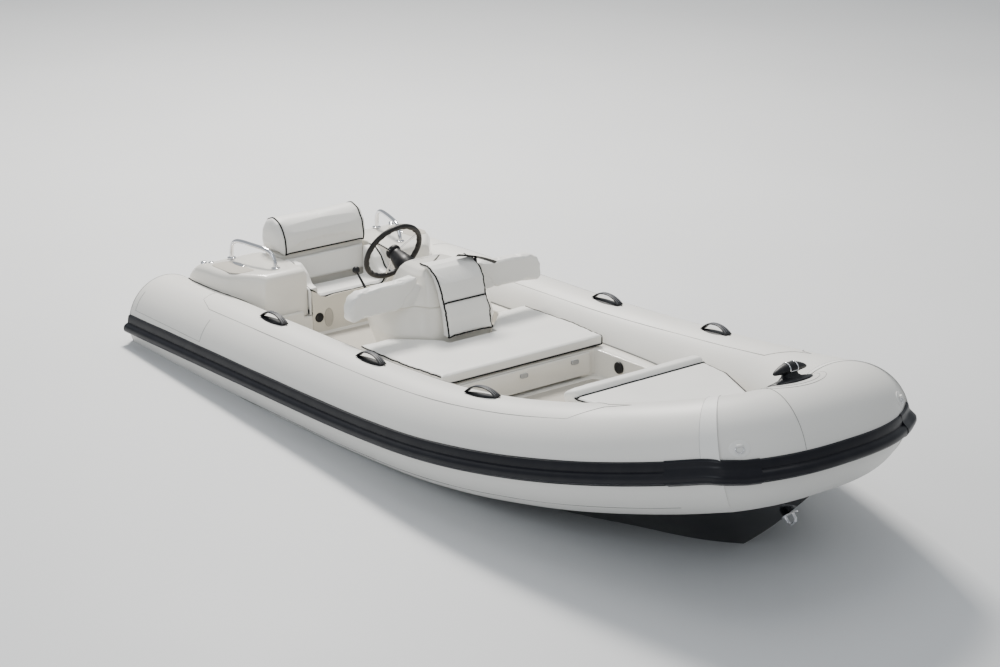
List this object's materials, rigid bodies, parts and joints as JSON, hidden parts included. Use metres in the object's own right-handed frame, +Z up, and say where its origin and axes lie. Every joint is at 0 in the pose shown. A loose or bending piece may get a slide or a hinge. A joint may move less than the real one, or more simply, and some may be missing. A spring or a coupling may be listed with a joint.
{
  "type": "rigid inflatable jet tender",
  "caption": "Rigid inflatable tender with an inflated collar, black V hull, helm console, rear and forward seats, bow cushion and an inboard jet drive.",
  "frame": {"origin": "on the centreline and on the waterline, 2.165 m forward of the collar's aft end seam, measured along the boat", "axes": "+X to port, -Y forward, +Z up from the water; the boat floats 3.5 degrees bow up"},
  "size_m": [2.008, 4.4095, 1.2928],
  "materials": {
    "coated_fabric": "satin",
    "rubber": "matt",
    "gelcoat_black": "gloss",
    "gelcoat_white": "gloss",
    "vinyl": "satin",
    "plastic_black": "matt",
    "polished_steel": "polished",
    "cast_alloy": "cast"
  },
  "bodies": {
    "boat": {"aft_deck": "gelcoat_white", "bow_bollard": "rubber", "bow_deck": "gelcoat_white", "bow_eye": "polished_steel", "bow_strake": "rubber", "bow_tube": "coated_fabric", "cockpit_liner": "gelcoat_white", "console": "gelcoat_white", "console_cushion": "vinyl", "engine": "cast_alloy", "forward_cushion": "vinyl", "forward_liner": "gelcoat_white", "hull": "gelcoat_black", "intake_grate": "cast_alloy", "jet_pump": "cast_alloy", "port_grab_rail": "polished_steel", "port_handle_aft": "rubber", "port_handle_forward": "rubber", "port_handle_middle": "rubber", "port_shoulder": "gelcoat_white", "port_strake": "rubber", "port_tube": "coated_fabric", "port_wing_backrest": "vinyl", "rear_seat": "vinyl", "starboard_grab_rail": "polished_steel", "starboard_handle_aft": "rubber", "starboard_handle_forward": "rubber", "starboard_handle_middle": "rubber", "starboard_shoulder": "gelcoat_white", "starboard_strake": "rubber", "starboard_tube": "coated_fabric", "starboard_wing_backrest": "vinyl", "steering_column": "plastic_black", "throttle_lever": "plastic_black"},
    "wheel": {"steering_wheel": "rubber"},
    "nozzle": {"steering_nozzle": "cast_alloy"},
    "bucket": {"reverse_bucket": "cast_alloy"},
    "impeller_rotor": {"impeller": "polished_steel"},
    "hatch": {"engine_hatch": "gelcoat_white", "seat_back_panel": "vinyl", "backrest": "vinyl"},
    "forward_door": {"locker_door": "gelcoat_white"},
    "bow_locker_lid": {"bow_lid": "gelcoat_white", "bow_cushion": "vinyl"}
  },
  "joints": [
    {"name": "steering_wheel_turn", "type": "hinge", "parent": "boat", "child": "wheel", "pos_m": [-0.03, 1.08578, 0.6349], "axis": [0, 0.9239, 0.3827], "range_deg": [-360, 360]},
    {"name": "nozzle_steer", "type": "hinge", "parent": "boat", "child": "nozzle", "pos_m": [0, 2.00666, -0.19787], "axis": [0, 0.061, 0.9981], "range_deg": [-24, 24]},
    {"name": "bucket_tilt", "type": "hinge", "parent": "boat", "child": "bucket", "pos_m": [0, 2.02663, -0.19909], "axis": [-1, 0, 0], "range_deg": [0, 60]},
    {"name": "impeller_spin", "type": "hinge", "parent": "boat", "child": "impeller_rotor", "pos_m": [0, 1.89188, -0.19085], "axis": [0, 0.9981, -0.061], "continuous": true},
    {"name": "hatch_hinge", "type": "hinge", "parent": "boat", "child": "hatch", "pos_m": [0, 2.02956, 0.17643], "axis": [-1, 0, 0], "range_deg": [0, 60]},
    {"name": "door_hinge", "type": "hinge", "parent": "boat", "child": "forward_door", "pos_m": [0, 0.00644, 0.22002], "axis": [1, 0, 0], "range_deg": [0, 80]},
    {"name": "bow_lid_hinge", "type": "hinge", "parent": "boat", "child": "bow_locker_lid", "pos_m": [0, -1.40607, 0.5168], "axis": [1, 0, 0], "range_deg": [0, 70]}
  ],
  "couplings": [
    {"joint": "nozzle_steer", "follows": "steering_wheel_turn", "ratio": 0.066667}
  ]
}
